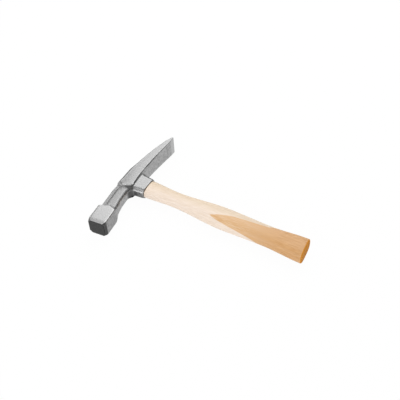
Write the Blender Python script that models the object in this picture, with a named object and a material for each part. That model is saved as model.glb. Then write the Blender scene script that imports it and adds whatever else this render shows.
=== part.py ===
"""Brick hammer lying on its side: a forged steel head wedged on a hickory handle.

Metres, +Z up. Every piece is drawn with the handle along +X towards the butt, the head along +Y towards
the blade and the width of the hammer along Z, all measured from the middle of the eye. One empty then
carries the hammer to its resting frame, whose origin lies under the middle of its box.
"""

import math

import bmesh
import bpy
from mathutils import Matrix, Vector

# Fits
FIT_GAP = 0.0003
CUT_OVERSHOOT = 0.004

# Poll: the square hammer end, leaning towards the handle
FACE_REACH = 0.0950
POLL_CANT_DEGREES = 5.0
POLL_RISE = 0.0073
POLL_SIZE = 0.0246
POLL_EDGE_CUT = 0.0006
POLL_LENGTH = 0.0340
POLL_CORNER_SET_BACK = 0.0045
FACE_BAND_LENGTH = 0.0057
FACE_BAND_INSET = 0.0008
FACE_CORNER_CUT = 0.0032

# Neck: eight-sided, between the poll and the eye
NECK_SLOPE_LENGTH = 0.0050
NECK_CHEEK_SET_BACK = 0.0039
NECK_WIDTH = 0.0200
NECK_DEPTH = 0.0210
NECK_TOP_FLAT = 0.0100
NECK_UNDER_FLAT = 0.0126
NECK_UPPER_CHAMFER = 0.0088
NECK_LOWER_CHAMFER = 0.0032
NECK_UNDER_FLARE = 0.0018
TONGUE_LENGTH = 0.0090
TONGUE_STEP = 0.0009

# Eye boss: raised cheek panels that run on into the blade
EYE_TOP = 0.0172
BOSS_TOP_FLAT = 0.0156
BOSS_TOP_CHAMFER = 0.0030
CHEEK_WIDTH = 0.0248
PANEL_CORNER_REACH = 0.0146
PANEL_POINT_LENGTH = 0.0042
PANEL_POINT_RISE = 0.0057
PANEL_RAMP = 0.0045
PANEL_TOP_RAMP = 0.0012
PANEL_LOWER_EDGE = 0.0038
PANEL_HEEL_DROP = 0.0021
PANEL_HEEL_LENGTH = 0.0036
PANEL_HEEL_CUT = 0.0018

# Blade: chisel end, drooping towards the handle
BLADE_REACH = 0.0964
EDGE_WIDTH = 0.0300
EDGE_DROP = 0.0066
EDGE_LAND = 0.0008
UPPER_BEVEL_LENGTH = 0.0100
LOWER_BEVEL_LENGTH = 0.0092
BEVEL_HEEL_THICKNESS = 0.0058
HEEL_DROP = 0.0070
BLADE_CROWN = 0.0004

# Collar round the tenon on the handle side of the eye
RIM_REACH = 0.0250
COLLAR_END_WALL = 0.0032
COLLAR_CHEEK_WALL = 0.0026
COLLAR_CHAMFER_LENGTH = 0.0050
COLLAR_CHAMFER_WIDTH = 0.0045
COLLAR_DRAFT = 0.0010
POLL_FILLET = 0.0095
BLADE_FILLET = 0.0095

# Tenon and its wedges
TENON_LENGTH = 0.0226
TENON_WIDTH = 0.0126
TENON_FLARE = 0.0005
WOOD_WEDGE_DEPTH = 0.0260
WOOD_WEDGE_TOP = 0.0036
WOOD_WEDGE_TIP = 0.0012
STEEL_WEDGE_DEPTH = 0.0140
STEEL_WEDGE_WIDTH = 0.0095
STEEL_WEDGE_TOP = 0.0024
STEEL_WEDGE_TIP = 0.0008
STEEL_WEDGE_OFFSET = 0.0055

# Handle: breadth along the head and thickness across it, at places measured from the eye
SHOULDER_INSET = 0.0008
WAIST_REACH = 0.068
WAIST_BREADTH = 0.0238
WAIST_THICKNESS = 0.0162
SWELL_REACH = 0.145
SWELL_BREADTH = 0.0334
SWELL_THICKNESS = 0.0226
GRIP_REACH = 0.210
GRIP_BREADTH = 0.0306
GRIP_THICKNESS = 0.0208
BUTT_REACH = 0.265
BUTT_BREADTH = 0.0352
BUTT_THICKNESS = 0.0222
BUTT_ROUND = 0.0022

# Roundness of the handle's sections: 2 is an ellipse, more is squarer
EYE_POWER = 3.0
SHOULDER_POWER = 2.6
GRIP_POWER = 2.3
BUTT_POWER = 3.0

# Fineness of the curves
OVAL_POINTS = 32
RINGS_PER_STRETCH = 6
ARC_STEPS = 6
ROUND_STEPS = 2
SMOOTH_BELOW_DEGREES = 30

# Looks of the plain model: colour, roughness and metallic value
FINISHES = {
    "forged_steel": ((0.60, 0.60, 0.61), 0.45, 0.85),
    "hickory": ((0.78, 0.58, 0.36), 0.40, 0.0),
    "wedge_wood": ((0.46, 0.29, 0.15), 0.60, 0.0),
    "wedge_steel": ((0.40, 0.40, 0.41), 0.40, 0.90),
}


def clear_scene():
    for existing in list(bpy.data.objects):
        bpy.data.objects.remove(existing)


def add_collection(name):
    collection = bpy.data.collections.new(name)
    bpy.context.scene.collection.children.link(collection)
    return collection


def add_material(name):
    colour, roughness, metallic = FINISHES[name]
    material = bpy.data.materials.new(name)
    material.use_nodes = True
    shader = material.node_tree.nodes["Principled BSDF"]
    shader.inputs["Base Color"].default_value = (*colour, 1.0)
    shader.inputs["Roughness"].default_value = roughness
    shader.inputs["Metallic"].default_value = metallic
    return material


def loft(rings):
    """A closed mesh through rings of equally many points, with a flat cap at each end."""
    shape = bmesh.new()
    loops = [[shape.verts.new(point) for point in ring] for ring in rings]
    for first, second in zip(loops, loops[1:]):
        for index in range(len(first)):
            after = (index + 1) % len(first)
            shape.faces.new((first[index], first[after], second[after], second[index]))
    shape.faces.new(loops[0])
    shape.faces.new(loops[-1])
    bmesh.ops.recalc_face_normals(shape, faces=shape.faces)
    return shape


def add_shape(name, shape, carrier, collection, finish=None, smooth=False):
    mesh = bpy.data.meshes.new(name)
    shape.to_mesh(mesh)
    shape.free()
    if smooth:
        mesh.shade_smooth()
        mesh.set_sharp_from_angle(angle=math.radians(SMOOTH_BELOW_DEGREES))
    piece = bpy.data.objects.new(name, mesh)
    collection.objects.link(piece)
    piece.parent = carrier
    if finish:
        mesh.materials.append(add_material(finish))
    return piece


def add_tool(name, shape, carrier, collection):
    """A shape that is only joined to a piece or cut from one."""
    tool = add_shape(name, shape, carrier, collection)
    tool.hide_render = True
    tool.display_type = "WIRE"
    return tool


def combine(piece, tool, operation):
    boolean = piece.modifiers.new(tool.name, "BOOLEAN")
    boolean.object = tool
    boolean.operation = operation
    boolean.solver = "EXACT"


def blend(start, end, share):
    """Eases from start to end, level at both."""
    return start + (end - start) * share * share * (3 - 2 * share)


def oval(x, breadth, thickness, power):
    """A rounded section square to the handle."""
    ring = []
    for index in range(OVAL_POINTS):
        turn = 2 * math.pi * index / OVAL_POINTS
        along = math.copysign(abs(math.cos(turn)) ** (2 / power), math.cos(turn))
        across = math.copysign(abs(math.sin(turn)) ** (2 / power), math.sin(turn))
        ring.append(Vector((x, along * breadth / 2, across * thickness / 2)))
    return ring


def arc(centre, radius, start_degrees, end_degrees):
    """Points (x, y) round a centre, with 0 degrees along +X and 90 along +Y."""
    points = []
    for step in range(ARC_STEPS + 1):
        turn = math.radians(start_degrees + (end_degrees - start_degrees) * step / ARC_STEPS)
        points.append((centre[0] + radius * math.cos(turn), centre[1] + radius * math.sin(turn)))
    return points


def half_cheek(y):
    """Half the width over the cheek panels, which flare evenly from the eye to the cutting edge."""
    return (CHEEK_WIDTH + (EDGE_WIDTH - CHEEK_WIDTH) * y / BLADE_REACH) / 2


# Head

def both_halves(half, place):
    """A closed ring from the points of its upper half, mirrored and then placed."""
    other_half = [(x, y, -z) for x, y, z in half[-2:0:-1]]
    return [place @ Vector(point) for point in half + other_half]


def poll_ring(station, size, corner_cut, set_back, place):
    """A square with cut corners, which lie set_back nearer to the striking face than its sides."""
    top = -POLL_RISE - size / 2
    under = -POLL_RISE + size / 2
    flat = size / 2 - corner_cut
    return both_halves([
        (top, station, 0.0),
        (top, station - set_back, flat),
        (top + corner_cut, station - set_back, size / 2),
        (-POLL_RISE, station, size / 2),
        (under - corner_cut, station - set_back, size / 2),
        (under, station - set_back, flat),
        (under, station, 0.0),
    ], place)


def neck_ring(station, top, depth, ridge_width, set_back, place):
    """Eight sides, with a ridge along the middle of each cheek; all but the underside lie set_back."""
    under = top + depth
    upper = top + NECK_UPPER_CHAMFER
    lower = under - NECK_LOWER_CHAMFER
    return both_halves([
        (top, station - set_back, 0.0),
        (top, station - set_back, NECK_TOP_FLAT / 2),
        (upper, station - set_back, NECK_WIDTH / 2),
        ((upper + lower) / 2, station - set_back, ridge_width / 2),
        (lower, station - set_back, NECK_WIDTH / 2),
        (under, station, NECK_UNDER_FLAT / 2),
        (under, station, 0.0),
    ], place)


def poll_and_neck():
    """From the striking face to inside the eye boss."""
    lean = Matrix.Rotation(math.radians(POLL_CANT_DEGREES), 3, "Z")
    level = Matrix.Identity(3)
    poll_top = -POLL_RISE - POLL_SIZE / 2
    poll_end = -FACE_REACH + POLL_LENGTH
    neck_start = poll_end + NECK_SLOPE_LENGTH
    point = -PANEL_CORNER_REACH - PANEL_POINT_LENGTH
    neck_end = point - TONGUE_LENGTH
    waist = (neck_start + neck_end) / 2
    boss_top = -EYE_TOP + FIT_GAP
    return loft([
        poll_ring(-FACE_REACH, POLL_SIZE - 2 * FACE_BAND_INSET, FACE_CORNER_CUT, 0.0, lean),
        poll_ring(-FACE_REACH + FACE_BAND_LENGTH, POLL_SIZE, POLL_EDGE_CUT, 0.0, lean),
        poll_ring(poll_end, POLL_SIZE, POLL_EDGE_CUT, POLL_CORNER_SET_BACK, lean),
        neck_ring(neck_start, poll_top, NECK_DEPTH + NECK_UNDER_FLARE, NECK_WIDTH, NECK_CHEEK_SET_BACK, lean),
        neck_ring(waist, poll_top, NECK_DEPTH, NECK_WIDTH, 0.0, lean),
        neck_ring(neck_end, poll_top, NECK_DEPTH, NECK_WIDTH, 0.0, lean),
        neck_ring(point, boss_top, NECK_DEPTH, 2 * (half_cheek(point) - TONGUE_STEP), 0.0, level),
        neck_ring(0.0, boss_top, NECK_DEPTH, NECK_WIDTH, 0.0, level),
    ])


def blade_outline(depth, crown):
    """Side view of the boss and blade as (x, y), from the panel's point over the top, the edge and back.

    It is drawn at a depth below the cheek panel, counted in steps from the panel down to the neck's cheek,
    and with the top crowned where it lies under the flat of the boss.
    """
    corner = -PANEL_CORNER_REACH - PANEL_RAMP * depth
    top_corner = -PANEL_CORNER_REACH - PANEL_TOP_RAMP * depth
    panel_top = -EYE_TOP + BOSS_TOP_CHAMFER
    upper_heel = (HEEL_DROP - BEVEL_HEEL_THICKNESS, BLADE_REACH - UPPER_BEVEL_LENGTH)
    lower_heel = (HEEL_DROP, BLADE_REACH - LOWER_BEVEL_LENGTH)
    eye_end = TENON_LENGTH / 2 + FIT_GAP + COLLAR_END_WALL
    panel_length = upper_heel[1] + PANEL_CORNER_REACH
    panel_fall = upper_heel[0] - panel_top
    eye_crown = BOSS_TOP_CHAMFER + panel_fall * ((eye_end + PANEL_CORNER_REACH) / panel_length) ** 2
    outline = [(-PANEL_POINT_RISE, corner - PANEL_POINT_LENGTH)]
    outline.append((panel_top - crown * BOSS_TOP_CHAMFER, top_corner))
    for step in range(ARC_STEPS + 1):
        share = step / ARC_STEPS
        y = eye_end + (upper_heel[1] - eye_end) * share
        edge_line = panel_top + panel_fall * ((y + PANEL_CORNER_REACH) / panel_length) ** 2
        outline.append((edge_line - crown * (eye_crown + (BLADE_CROWN - eye_crown) * share), y))
    outline.append((EDGE_DROP - EDGE_LAND / 2, BLADE_REACH))
    outline.append((EDGE_DROP + EDGE_LAND / 2, BLADE_REACH))
    for step in range(ARC_STEPS + 1):
        share = 1 - step / ARC_STEPS
        y = eye_end + (lower_heel[1] - eye_end) * share
        outline.append((PANEL_LOWER_EDGE + (lower_heel[0] - PANEL_LOWER_EDGE) * share ** 2, y))
    outline.append((PANEL_LOWER_EDGE + PANEL_HEEL_DROP, corner + PANEL_HEEL_LENGTH))
    outline.append((PANEL_LOWER_EDGE + PANEL_HEEL_DROP - PANEL_HEEL_CUT, corner))
    return outline


def boss_and_blade():
    """The raised cheeks round the eye and the blade, built up across the hammer's width."""
    core = BOSS_TOP_FLAT / 2
    cheek = blade_outline(0.0, 0.0)
    middle = blade_outline((CHEEK_WIDTH - BOSS_TOP_FLAT) / (CHEEK_WIDTH - NECK_WIDTH), 1.0)
    return loft([
        [Vector((x, y, -half_cheek(y))) for x, y in cheek],
        [Vector((x, y, -core)) for x, y in middle],
        [Vector((x, y, core)) for x, y in middle],
        [Vector((x, y, half_cheek(y))) for x, y in cheek],
    ])


def collar_outline(inset):
    """Side view of the collar as (x, y), with its fillets to the neck and the blade, drawn in by inset."""
    wall = TENON_LENGTH / 2 + FIT_GAP + COLLAR_END_WALL
    root = wall + COLLAR_DRAFT
    lean = math.sin(math.radians(POLL_CANT_DEGREES)) * (root + POLL_FILLET)
    neck_under = -POLL_RISE - POLL_SIZE / 2 + NECK_DEPTH + lean - FIT_GAP
    blade_under = PANEL_LOWER_EDGE - FIT_GAP
    poll_centre = (neck_under + POLL_FILLET, -root - POLL_FILLET)
    blade_centre = (blade_under + BLADE_FILLET, root + BLADE_FILLET)
    buried = -PANEL_POINT_RISE
    outline = [(buried, poll_centre[1])]
    outline += arc(poll_centre, POLL_FILLET + inset, 180, 90)
    outline += [(RIM_REACH, -wall + inset), (RIM_REACH, wall - inset)]
    outline += arc(blade_centre, BLADE_FILLET + inset, 270, 180)
    outline.append((buried, blade_centre[1]))
    return outline


def collar():
    cheek = TENON_WIDTH / 2 + FIT_GAP + COLLAR_CHEEK_WALL
    flat = cheek - COLLAR_CHAMFER_WIDTH
    full = collar_outline(0.0)
    drawn_in = collar_outline(COLLAR_CHAMFER_LENGTH)
    return loft([
        [Vector((x, y, -cheek)) for x, y in drawn_in],
        [Vector((x, y, -flat)) for x, y in full],
        [Vector((x, y, flat)) for x, y in full],
        [Vector((x, y, cheek)) for x, y in drawn_in],
    ])


def tenon_rings(gap, top, bottom):
    """Sections of the tenon, or with a gap of the eye round it, flared towards the top by the wedges."""
    length, width = TENON_LENGTH + 2 * gap, TENON_WIDTH + 2 * gap
    return [
        oval(top, length + 2 * TENON_FLARE, width + 2 * TENON_FLARE, EYE_POWER),
        oval(0.0, length, width, EYE_POWER),
        oval(bottom, length, width, EYE_POWER),
    ]


def hammer_head(carrier, parts, tools):
    head = add_shape("hammer_head", poll_and_neck(), carrier, parts, "forged_steel")
    combine(head, add_tool("boss_and_blade", boss_and_blade(), carrier, tools), "UNION")
    combine(head, add_tool("collar", collar(), carrier, tools), "UNION")
    eye = loft(tenon_rings(FIT_GAP, -EYE_TOP - CUT_OVERSHOOT, RIM_REACH + CUT_OVERSHOOT))
    combine(head, add_tool("eye", eye, carrier, tools), "DIFFERENCE")


# Handle and wedges

def handle_sections():
    """Sections (x, breadth, thickness, power) from the shoulder under the rim to the butt."""
    rim_breadth = TENON_LENGTH + 2 * (FIT_GAP + COLLAR_END_WALL - SHOULDER_INSET)
    rim_thickness = TENON_WIDTH + 2 * (FIT_GAP + COLLAR_CHEEK_WALL - SHOULDER_INSET)
    places = [
        (RIM_REACH + FIT_GAP, rim_breadth, rim_thickness, SHOULDER_POWER),
        (WAIST_REACH, WAIST_BREADTH, WAIST_THICKNESS, GRIP_POWER),
        (SWELL_REACH, SWELL_BREADTH, SWELL_THICKNESS, GRIP_POWER),
        (GRIP_REACH, GRIP_BREADTH, GRIP_THICKNESS, GRIP_POWER),
        (BUTT_REACH - BUTT_ROUND, BUTT_BREADTH, BUTT_THICKNESS, BUTT_POWER),
    ]
    sections = [places[0]]
    for start, end in zip(places, places[1:]):
        for step in range(1, RINGS_PER_STRETCH + 1):
            share = step / RINGS_PER_STRETCH
            x = start[0] + (end[0] - start[0]) * share
            sections.append((x, *[blend(first, last, share) for first, last in zip(start[1:], end[1:])]))
    for step in range(1, ROUND_STEPS + 1):
        turn = math.pi / 2 * step / ROUND_STEPS
        drawn_in = 2 * BUTT_ROUND * (1 - math.cos(turn))
        x = BUTT_REACH - BUTT_ROUND * (1 - math.sin(turn))
        sections.append((x, BUTT_BREADTH - drawn_in, BUTT_THICKNESS - drawn_in, BUTT_POWER))
    return sections


def wedge(top_thickness, tip_thickness, depth, width, gap, across):
    """A wedge driven in from the top of the eye; with a gap it is the slot that the wedge leaves."""
    top = -EYE_TOP + FIT_GAP
    taper = (top_thickness - tip_thickness) / depth
    start = -CUT_OVERSHOOT if gap else 0.0
    rings = []
    for down in (start, depth + gap):
        thick = (top_thickness - taper * down) / 2 + gap
        wide = width / 2 + gap
        corners = [(-wide, -thick), (wide, -thick), (wide, thick), (-wide, thick)]
        rings.append([Vector((top + down, z, y) if across else (top + down, y, z)) for y, z in corners])
    return rings


def wood_wedge_rings(gap):
    """Along the tenon; its slot runs right through, past the tenon's ends."""
    length = TENON_LENGTH + 2 * CUT_OVERSHOOT if gap else TENON_LENGTH - 2 * FIT_GAP
    return wedge(WOOD_WEDGE_TOP, WOOD_WEDGE_TIP, WOOD_WEDGE_DEPTH, length, gap, False)


def steel_wedge_shape(side, gap):
    """Across the tenon and the wood wedge, towards one side of the handle's axis."""
    rings = wedge(STEEL_WEDGE_TOP, STEEL_WEDGE_TIP, STEEL_WEDGE_DEPTH, STEEL_WEDGE_WIDTH, gap, True)
    shift = Vector((0.0, side * STEEL_WEDGE_OFFSET, 0.0))
    return loft([[point + shift for point in ring] for ring in rings])


def handle_and_wedges(carrier, parts, tools):
    rings = tenon_rings(0.0, -EYE_TOP + FIT_GAP, RIM_REACH + FIT_GAP)
    rings += [oval(*section) for section in handle_sections()]
    handle = add_shape("handle", loft(rings), carrier, parts, "hickory", smooth=True)
    combine(handle, add_tool("kerf", loft(wood_wedge_rings(FIT_GAP)), carrier, tools), "DIFFERENCE")
    wood_wedge = add_shape("wood_wedge", loft(wood_wedge_rings(0.0)), carrier, parts, "wedge_wood")
    for name, side in (("poll_side", -1), ("blade_side", 1)):
        slot = add_tool("slot_" + name, steel_wedge_shape(side, FIT_GAP), carrier, tools)
        combine(handle, slot, "DIFFERENCE")
        combine(wood_wedge, slot, "DIFFERENCE")
        add_shape("steel_wedge_" + name, steel_wedge_shape(side, 0.0), carrier, parts, "wedge_steel")


def add_carrier(parts):
    """The empty at the middle of the eye; the hammer lies with its widest corner on the ground."""
    lean = math.radians(POLL_CANT_DEGREES)
    face_top = POLL_RISE + POLL_SIZE / 2 - FACE_BAND_INSET
    poll_reach = FACE_REACH * math.cos(lean) + face_top * math.sin(lean)
    carrier = bpy.data.objects.new("eye_middle", None)
    parts.objects.link(carrier)
    carrier.location = ((EYE_TOP - BUTT_REACH) / 2, (poll_reach - BLADE_REACH) / 2, EDGE_WIDTH / 2)
    return carrier


def main():
    clear_scene()
    parts = add_collection("brick_hammer")
    tools = add_collection("cutters")
    carrier = add_carrier(parts)
    hammer_head(carrier, parts, tools)
    handle_and_wedges(carrier, parts, tools)


main()
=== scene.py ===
"""Brick hammer lying on its side: forged steel head, hickory handle and the wedges in the eye."""

import math

import bmesh
import bpy
import numpy as np
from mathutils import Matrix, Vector


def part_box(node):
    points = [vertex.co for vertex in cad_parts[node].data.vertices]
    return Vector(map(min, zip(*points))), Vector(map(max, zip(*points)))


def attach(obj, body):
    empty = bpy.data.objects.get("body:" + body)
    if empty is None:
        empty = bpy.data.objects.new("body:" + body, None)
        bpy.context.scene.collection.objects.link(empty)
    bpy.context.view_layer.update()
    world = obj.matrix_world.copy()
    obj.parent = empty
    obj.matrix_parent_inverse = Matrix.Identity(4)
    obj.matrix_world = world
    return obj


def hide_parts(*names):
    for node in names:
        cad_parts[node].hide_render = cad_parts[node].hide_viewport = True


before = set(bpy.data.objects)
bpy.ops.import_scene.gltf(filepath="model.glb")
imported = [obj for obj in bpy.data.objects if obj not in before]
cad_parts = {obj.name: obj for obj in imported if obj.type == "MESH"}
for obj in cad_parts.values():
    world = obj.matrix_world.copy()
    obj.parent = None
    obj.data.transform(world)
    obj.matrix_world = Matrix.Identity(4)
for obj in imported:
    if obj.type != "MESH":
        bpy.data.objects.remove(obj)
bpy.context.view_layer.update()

MM = 0.001
SAME_PLACE = 0.001 * MM
HEAD_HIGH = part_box("hammer_head")[1]
HANDLE_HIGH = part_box("handle")[1]

# Places on the hammer, in the frame's axes
EYE_MIDDLE = Vector((-123.9, -0.06, 15.0)) * MM
COLLAR_REACH = 25.0 * MM
COLLAR_TRIM = 1.3 * MM
SHOULDER_GAP = 0.3 * MM
SHOULDER_X = EYE_MIDDLE.x + COLLAR_REACH + SHOULDER_GAP - COLLAR_TRIM
BUTT_X = HANDLE_HIGH.x
FACE_MIDDLE = Vector((-122.89, -95.34, 15.0)) * MM
FACE_OUTWARD = Vector((0.08716, -0.99619, 0.0))
BAND_LENGTH = 5.7 * MM
BAND_FADE = 0.3 * MM
POLL_LENGTH = 34.0 * MM
POLL_END_Y = FACE_MIDDLE.y + POLL_LENGTH
BEVEL_LENGTH = 9.4 * MM
BEVEL_HEEL_Y = HEAD_HIGH.y - BEVEL_LENGTH

# Handle: each stop's place, then its section as breadth, thickness and squareness (2 is an ellipse)
HANDLE_STOPS = {
    "Shoulder": (SHOULDER_X, (28.0 * MM, 16.8 * MM, 2.6)),
    "Waist": (EYE_MIDDLE.x + 68.0 * MM, (23.8 * MM, 16.2 * MM, 2.3)),
    "Swell": (EYE_MIDDLE.x + 145.0 * MM, (33.4 * MM, 22.6 * MM, 2.3)),
    "Grip": (EYE_MIDDLE.x + 210.0 * MM, (30.6 * MM, 20.8 * MM, 2.3)),
    "Butt": (BUTT_X, (35.2 * MM, 22.2 * MM, 3.0)),
}
SHOULDER_ROUND = 0.5 * MM
BUTT_ROUND = 2.2 * MM
# The butt is sawn a little out of square: how much shorter the handle is for each metre towards the blade
BUTT_SKEW = 0.07
TENON_CUT = 1.0 * MM
TENON_SUNK = 4.0 * MM
SHARP_ANGLE = math.radians(40.0)

# Handle's mesh: rings and points, and the shares of the rings where its caps and rounds start or end
HANDLE_RINGS = 220
HANDLE_POINTS = 112
SHOULDER_CAP_END = 0.02
SHOULDER_ROUND_END = 0.05
BUTT_ROUND_START = 0.91
BUTT_CAP_START = 0.97

# Heartwood: the grain's tilt, the tongue's tip and edges, its end on the side below, its waver and its rings
GRAIN_TILT = 0.35
HEART_TIP_Y = -9.3 * MM
HEART_TIP_Z = 26.0 * MM
HEART_UPPER_SLOPE = 2.6
HEART_UPPER_BEND = 6.3 * MM
HEART_UPPER_POWER = 4.0
HEART_LOWER_CURVE = 660.0
HEART_UNDER_SLOPE = -1.6
HEART_UNDER_REACH = 124.0 * MM
HEART_WAVER = 4.0 * MM
RING_SPACING = 9.0 * MM

# Head's sizes, measured from the middle of the eye
POLL_LEAN = math.radians(5.0)
NECK_EDGES = ((-10.8 * MM, 10.0 * MM), (-1.8 * MM, 10.0 * MM), (1.4 * MM, 6.3 * MM))
CHEEK_HALF = 12.4 * MM
EDGE_HALF = 15.0 * MM
BLADE_REACH = 96.4 * MM
PANEL_LOW = 3.8 * MM
PANEL_DROOP = 3.2 * MM
PANEL_DROOP_END = 1.2
PANEL_HEEL_DROP = 2.1 * MM
PANEL_HEEL_Y = 11.0 * MM
LOWER_HEEL = 87.2 * MM
COLLAR_WALL = 14.8 * MM
COLLAR_FLAT_HALF = 4.7 * MM
CROTCH_X = 5.0 * MM
CROTCH_Y = 19.5 * MM
# Where the highlight along the collar's lower corner is painted
COLLAR_HIGHLIGHT_Y = -15.2 * MM
COLLAR_HIGHLIGHT_OUT = 5.1 * MM

# Forging: grid of the fine mesh, and rounds of smoothing and of filling the hollows
FORGING_GRID = 0.5 * MM
ROUND_STEP = 0.5
POLL_SOFTNESS = 0.6
POLL_SOFT_LENGTH = 6.0 * MM
EDGE_ROUNDING_ROUNDS = 8
DIE_EDGE_ROUNDS = 40
CROTCH_ROUNDS = 80
HOLLOW_FILLING_ROUNDS = 25
ROUNDS_PER_NORMAL = 10
LAST_ROUNDS = 3

# Cheek panels: crown, rolled lower edge and the cut that breaks it; a pair is where a fade starts and is full
PANEL_CROWN_RADIUS = 150.0 * MM
PANEL_CROWN_WIDTH = 20.0 * MM
PANEL_ROLL_WIDTH = 2.5 * MM
PANEL_ROLL_RADIUS = 9.3 * MM
PANEL_EDGE_CUT = 1.3 * MM
PANEL_OUT_SHARES = (0.6, 0.9)
PANEL_POINT_Y = (-26.0 * MM, -16.0 * MM)
PANEL_PAST_EDGE = (1.5 * MM, 0.5 * MM)
WORN_EDGE_Y = (-12.0 * MM, -7.0 * MM)
WORN_EDGE_LOSS_Y = (40.0 * MM, 80.0 * MM)
WORN_EDGE_LOSS = 0.8

# Fades that zones on the head share: a measure of measure_head(), where it starts and where it is full
NEAR_EYE = ("away", 27.0 * MM, 24.0 * MM)
POLL_HALF = ("y", 0.0, -SAME_PLACE)
BEHIND_POLL = ("past_poll", 0.0, 4.0 * MM)
ON_POLL = ("past_poll", 0.0, -2.0 * MM)
ON_BAND = ("depth", -BAND_LENGTH - BAND_FADE, -BAND_LENGTH + BAND_FADE)
UNDER_CHEEK = ("below_cheek", 0.3 * MM, 0.7 * MM)
FROM_PANEL_POINT = ("x", -5.0 * MM, -3.0 * MM)
FACES_EDGE = ("faces_edge", 0.3, 0.5)
# The upper cheek, which the painted shade in the crotch leaves out
UPPER_CHEEK_SIDE = (("z", -5.0 * MM, -3.0 * MM), ("out", 4.5 * MM, 8.0 * MM))

# Collar's end, drawn in by COLLAR_TRIM
TRIMMED_COLLAR = (("x", 18.0 * MM, 24.0 * MM),)

# Long edges that the die leaves round, and hollows that it fills: a strength and its fades
DIE_EDGE_ZONES = {
    "neck": (1.0, (("from_neck_edge", 3.0 * MM, 1.5 * MM), ("y", -62.0 * MM, -58.0 * MM),
                   ("y", -22.0 * MM, -28.0 * MM))),
    "collar": (1.0, (("from_collar_edge", 2.6 * MM, 1.3 * MM), ("x", 7.0 * MM, 10.0 * MM))),
}
CROTCH_ZONES = {
    "crotches": (1.0, (("from_crotch", 8.0 * MM, 4.0 * MM), ("below_cheek", 1.4 * MM, 3.0 * MM))),
}

# Stock added for what the rounding takes off: a thickness and its fades
STOCK_ZONES = {
    "back": (0.6 * MM, (("faces_x", -0.2, -0.6), BEHIND_POLL)),
    "underside": (0.5 * MM, (("faces_x", 0.3, 0.6), BEHIND_POLL, ("away", 8.0 * MM, 14.0 * MM))),
    "collar walls": (0.9 * MM, (("faces_end", 0.3, 0.9), ("x", 3.0 * MM, 12.0 * MM),
                                ("away", 24.0 * MM, 20.0 * MM))),
}
POLL_STOCK = 0.7 * MM
POLL_STOCK_FADES = (("past_poll", 4.0 * MM, 0.0), ("faces_along", 0.8, 0.5))
POLL_BACK_EXTRA = 0.15
POLL_BACK_FADES = (("faces_x", -0.5, -0.8),)
POLL_BACK_EXTRA_AT_FACE = 0.5
POLL_FACE_FADES = (("y", -82.0 * MM, -92.0 * MM),)

# Painted shade and painted dark reflections on the head: in the crotches, at and below the panel's point, at
# the panel's heel, on the collar's poll-side wall and blade side, along the collar's rim at its joint with
# the handle, in the fold under the panel, on the neck's cheeks, along the back's edges and on the poll's and
# band's sides: how dark, then the fades
PAINTED_SHADE_ZONES = {
    "crotch": (0.85, (("from_crotch", 11.0 * MM, 3.0 * MM), ("off_upper_cheek", 0.0, 1.0), POLL_HALF, NEAR_EYE)),
    "step at the panel's point": (0.7, (
        ("faces_end", 0.2, 0.32), FROM_PANEL_POINT, ("x", 7.0 * MM, 5.0 * MM),
        UNDER_CHEEK, POLL_HALF, NEAR_EYE)),
    "below the panel's point": (0.55, (
        ("y", -27.0 * MM, -21.0 * MM), ("y", -13.0 * MM, -16.0 * MM),
        FROM_PANEL_POINT, UNDER_CHEEK, NEAR_EYE)),
    "panel's heel": (0.75, (
        ("x", 2.8 * MM, 4.0 * MM), ("y", -11.0 * MM, -12.5 * MM), ("out", 10.5 * MM, 11.0 * MM), NEAR_EYE)),
    "collar's wall": (0.9, (
        ("faces_y", -0.84, -0.96), ("out", 4.6 * MM, 2.4 * MM), ("x", 1.0 * MM, 5.0 * MM),
        ("x", 24.0 * MM, 13.0 * MM), NEAR_EYE)),
    "collar's blade side": (0.5, (("faces_y", 0.5, 0.65), ("x", 12.0 * MM, 15.0 * MM), NEAR_EYE)),
    "collar's rim": (0.35, (("x", 24.2 * MM - COLLAR_TRIM, 24.7 * MM - COLLAR_TRIM), NEAR_EYE)),
    "fold under the panel": (0.25, (
        ("away", 15.5 * MM, 14.5 * MM), ("from_panel_edge", 1.9 * MM, 1.3 * MM), ("out", 9.0 * MM, 9.4 * MM),
        UNDER_CHEEK)),
    "neck's cheeks": (0.2, (BEHIND_POLL, ("y", -18.0 * MM, -24.0 * MM), ("faces_cheek", 0.3, 0.6))),
    "back's edges": (0.6, (
        ("faces_x", -0.58, -0.68), ("faces_x", -0.96, -0.88), BEHIND_POLL, ("y", 84.0 * MM, 80.0 * MM))),
    "poll's sides": (0.15, (FACES_EDGE, ON_POLL)),
    "band's sides": (0.85, (FACES_EDGE, ON_BAND)),
}

# Steel ground bright on the cutting bevel and the poll's cheeks, and painted highlights on the collar's
# corner and the panel's point: how bright, then the fades
GROUND_AND_HIGHLIGHT_ZONES = {
    "cutting bevel": (1.0, (("past_heel", 0.0, 0.5 * MM), ("faces_cheek", 0.6, 0.59))),
    "poll's cheeks": (0.45, (ON_POLL, ("faces_cheek", 0.7, 0.9))),
    "collar's corner": (1.0, (("from_collar_highlight", 1.7 * MM, 0.9 * MM), ("x", 6.0 * MM, 9.0 * MM))),
    "panel's point": (1.0, (
        ("y", -15.0 * MM, -16.5 * MM), ("y", -19.5 * MM, -18.5 * MM), ("x", -2.5 * MM, -4.5 * MM),
        ("x", -9.5 * MM, -8.5 * MM), ("out", 10.6 * MM, 11.0 * MM))),
}

# The head's sides, where the shot marks show most
SIDE_ZONES = {"sides": (1.0, (("faces_cheek", 0.8, 0.3),))}

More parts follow.
